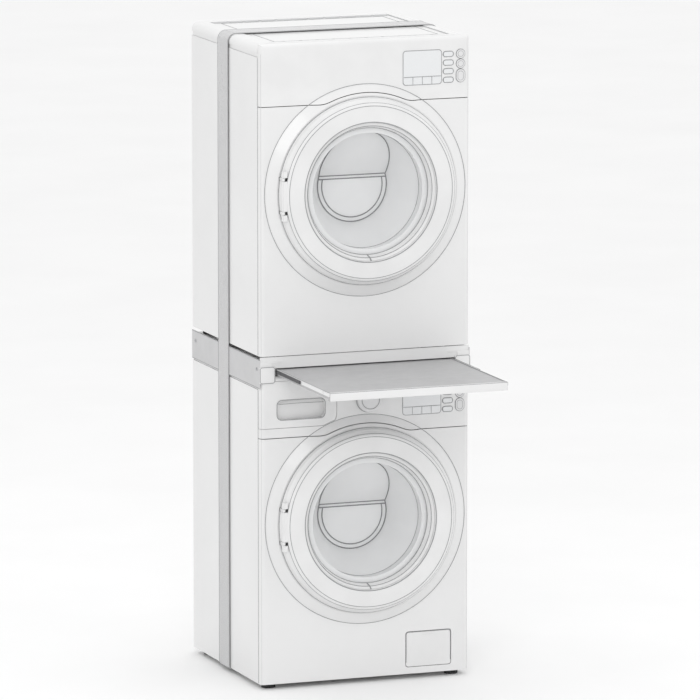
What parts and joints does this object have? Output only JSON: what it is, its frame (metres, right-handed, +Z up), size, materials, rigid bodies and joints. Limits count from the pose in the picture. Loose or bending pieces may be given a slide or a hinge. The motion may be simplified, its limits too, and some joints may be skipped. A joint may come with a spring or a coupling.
{
  "type": "washer dryer stack",
  "caption": "Front-loading washer with a tumble dryer stacked on it, joined by a stacking frame with a pull-out shelf, side bands and a lashing strap.",
  "frame": {"origin": "bottom centre of the whole object's box with the shelf pulled out, on the floor", "axes": "+Z up; +X to the right and -Y towards the person who faces the doors"},
  "size_m": [0.6306, 0.955, 1.7423],
  "materials": {
    "white_steel": "white enamelled sheet steel",
    "white_plastic": "white moulded plastic",
    "grey_plastic": "light grey moulded plastic",
    "dark_plastic": "dark grey moulded plastic",
    "button_plastic": "pale grey moulded plastic",
    "display": "grey tinted display window",
    "door_glass": "clear pressed glass",
    "stainless": "brushed stainless steel",
    "zinc": "zinc-plated steel",
    "cast_aluminium": "as-cast aluminium",
    "rubber": "black rubber",
    "grey_rubber": "grey bellows rubber",
    "concrete": "rough cast ballast block",
    "kit_grey": "light grey powder coat",
    "shelf_grey": "light grey shelf panel",
    "runner_steel": "dark plated runner steel",
    "webbing": "light grey woven polyester webbing"
  },
  "bodies": {
    "root": {"washer_cabinet": "white_steel", "washer_front_panel": "white_steel", "washer_top_cover": "white_steel", "washer_control_panel": "white_plastic", "washer_display": "display", "drawer_housing": "grey_plastic", "washer_door_hinge": "white_steel", "door_gasket": "grey_rubber", "washer_tub": "grey_plastic", "washer_belt": "rubber", "washer_motor": "dark_plastic", "drum_bearings": "zinc", "counterweight": "concrete", "tub_suspension": "zinc", "drain_pump": "dark_plastic", "inlet_valve": "white_plastic", "washer_feet": "rubber", "dryer_cabinet": "white_steel", "dryer_front_panel": "white_steel", "dryer_top_cover": "white_steel", "dryer_control_panel": "white_plastic", "dryer_display": "display", "dryer_door_hinge": "white_steel", "dryer_bulkhead": "grey_plastic", "dryer_belt": "rubber", "dryer_motor": "dark_plastic", "dryer_feet": "rubber", "stacking_frame": "white_steel", "side_bands": "kit_grey", "corner_brackets": "white_steel", "outer_runners": "runner_steel", "kit_screws": "zinc", "strap": "webbing", "strap_ratchet": "zinc"},
    "washer_door": {"washer_door_frame": "white_plastic", "washer_door_inner_ring": "white_plastic", "washer_door_glass": "door_glass"},
    "dryer_door": {"dryer_door_frame": "white_plastic", "dryer_door_inner_ring": "white_plastic", "dryer_door_glass": "door_glass"},
    "washer_drum": {"washer_drum": "stainless", "drum_pulley": "cast_aluminium"},
    "washer_rotor": {"washer_motor_pulley": "zinc"},
    "dryer_drum": {"dryer_drum": "stainless"},
    "dryer_rotor": {"dryer_fan": "zinc"},
    "drawer": {"detergent_drawer": "white_plastic"},
    "knob": {"program_knob": "button_plastic"},
    "washer_button_upper": {"washer_button_upper": "button_plastic"},
    "washer_button_lower": {"washer_button_lower": "button_plastic"},
    "washer_start_button": {"washer_start_button": "button_plastic"},
    "dryer_button_upper": {"dryer_button_upper": "button_plastic"},
    "dryer_button_lower": {"dryer_button_lower": "button_plastic"},
    "dryer_start_button": {"dryer_start_button": "button_plastic"},
    "service_flap": {"service_flap": "white_plastic"},
    "filter_cap": {"filter_cap": "grey_plastic"},
    "lint_filter": {"lint_filter": "grey_plastic"},
    "shelf": {"pull_out_shelf": "shelf_grey", "shelf_runners": "white_steel"},
    "middle_runners": {"middle_runners": "runner_steel"},
    "ratchet_handle": {"ratchet_handle": "dark_plastic"}
  },
  "joints": [
    {"name": "washer_door_swing", "type": "hinge", "parent": "root", "child": "washer_door", "pos_m": [-0.2575, -0.1115, 0.448], "axis": [0, 0, -1], "range_deg": [0, 105]},
    {"name": "dryer_door_swing", "type": "hinge", "parent": "root", "child": "dryer_door", "pos_m": [-0.2575, -0.1115, 1.338], "axis": [0, 0, -1], "range_deg": [0, 105]},
    {"name": "washer_drum_spin", "type": "hinge", "parent": "root", "child": "washer_drum", "pos_m": [-0.0135, -0.0775, 0.448], "axis": [0, 1, 0], "continuous": true},
    {"name": "washer_motor_spin", "type": "hinge", "parent": "root", "child": "washer_rotor", "pos_m": [-0.0135, -0.0775, 0.102], "axis": [0, 1, 0], "continuous": true},
    {"name": "dryer_drum_spin", "type": "hinge", "parent": "root", "child": "dryer_drum", "pos_m": [-0.0135, -0.0775, 1.338], "axis": [0, 1, 0], "continuous": true},
    {"name": "dryer_motor_spin", "type": "hinge", "parent": "root", "child": "dryer_rotor", "pos_m": [0.1765, -0.0775, 0.992], "axis": [0, 1, 0], "continuous": true},
    {"name": "drawer_slide", "type": "slide", "parent": "root", "child": "drawer", "axis": [0, -1, 0], "range_m": [0, 0.2]},
    {"name": "knob_turn", "type": "hinge", "parent": "root", "child": "knob", "pos_m": [-0.0035, -0.0775, 0.774], "axis": [0, 1, 0], "continuous": true},
    {"name": "washer_button_upper_press", "type": "slide", "parent": "root", "child": "washer_button_upper", "axis": [0, 1, 0], "range_m": [0, 0.0015], "stiffness_N_per_m": 400, "springref_m": -0.001},
    {"name": "washer_button_lower_press", "type": "slide", "parent": "root", "child": "washer_button_lower", "axis": [0, 1, 0], "range_m": [0, 0.0015], "stiffness_N_per_m": 400, "springref_m": -0.001},
    {"name": "washer_start_button_press", "type": "slide", "parent": "root", "child": "washer_start_button", "axis": [0, 1, 0], "range_m": [0, 0.0015], "stiffness_N_per_m": 400, "springref_m": -0.001},
    {"name": "dryer_button_upper_press", "type": "slide", "parent": "root", "child": "dryer_button_upper", "axis": [0, 1, 0], "range_m": [0, 0.0015], "stiffness_N_per_m": 400, "springref_m": -0.001},
    {"name": "dryer_button_lower_press", "type": "slide", "parent": "root", "child": "dryer_button_lower", "axis": [0, 1, 0], "range_m": [0, 0.0015], "stiffness_N_per_m": 400, "springref_m": -0.001},
    {"name": "dryer_start_button_press", "type": "slide", "parent": "root", "child": "dryer_start_button", "axis": [0, 1, 0], "range_m": [0, 0.0015], "stiffness_N_per_m": 400, "springref_m": -0.001},
    {"name": "flap_open", "type": "hinge", "parent": "root", "child": "service_flap", "pos_m": [0.1685, -0.0755, 0.038], "axis": [1, 0, 0], "range_deg": [0, 90]},
    {"name": "filter_cap_turn", "type": "hinge", "parent": "root", "child": "filter_cap", "pos_m": [0.1685, -0.0775, 0.08], "axis": [0, -1, 0], "range_deg": [0, 120]},
    {"name": "lint_filter_lift", "type": "slide", "parent": "root", "child": "lint_filter", "axis": [0, 0, 1], "range_m": [0, 0.015]},
    {"name": "shelf_slide", "type": "slide", "parent": "root", "child": "shelf", "axis": [0, -1, 0], "range_m": [-0.385, 0]},
    {"name": "runner_slide", "type": "slide", "parent": "root", "child": "middle_runners", "axis": [0, -1, 0], "range_m": [-0.1925, 0]},
    {"name": "ratchet_swing", "type": "hinge", "parent": "root", "child": "ratchet_handle", "pos_m": [0.3093, 0.2033, 1.3], "axis": [0, -1, 0], "range_deg": [0, 150]}
  ],
  "couplings": [
    {"joint": "washer_motor_spin", "follows": "washer_drum_spin", "ratio": 10},
    {"joint": "dryer_motor_spin", "follows": "dryer_drum_spin", "ratio": 19.429},
    {"joint": "runner_slide", "follows": "shelf_slide", "ratio": 0.5}
  ]
}
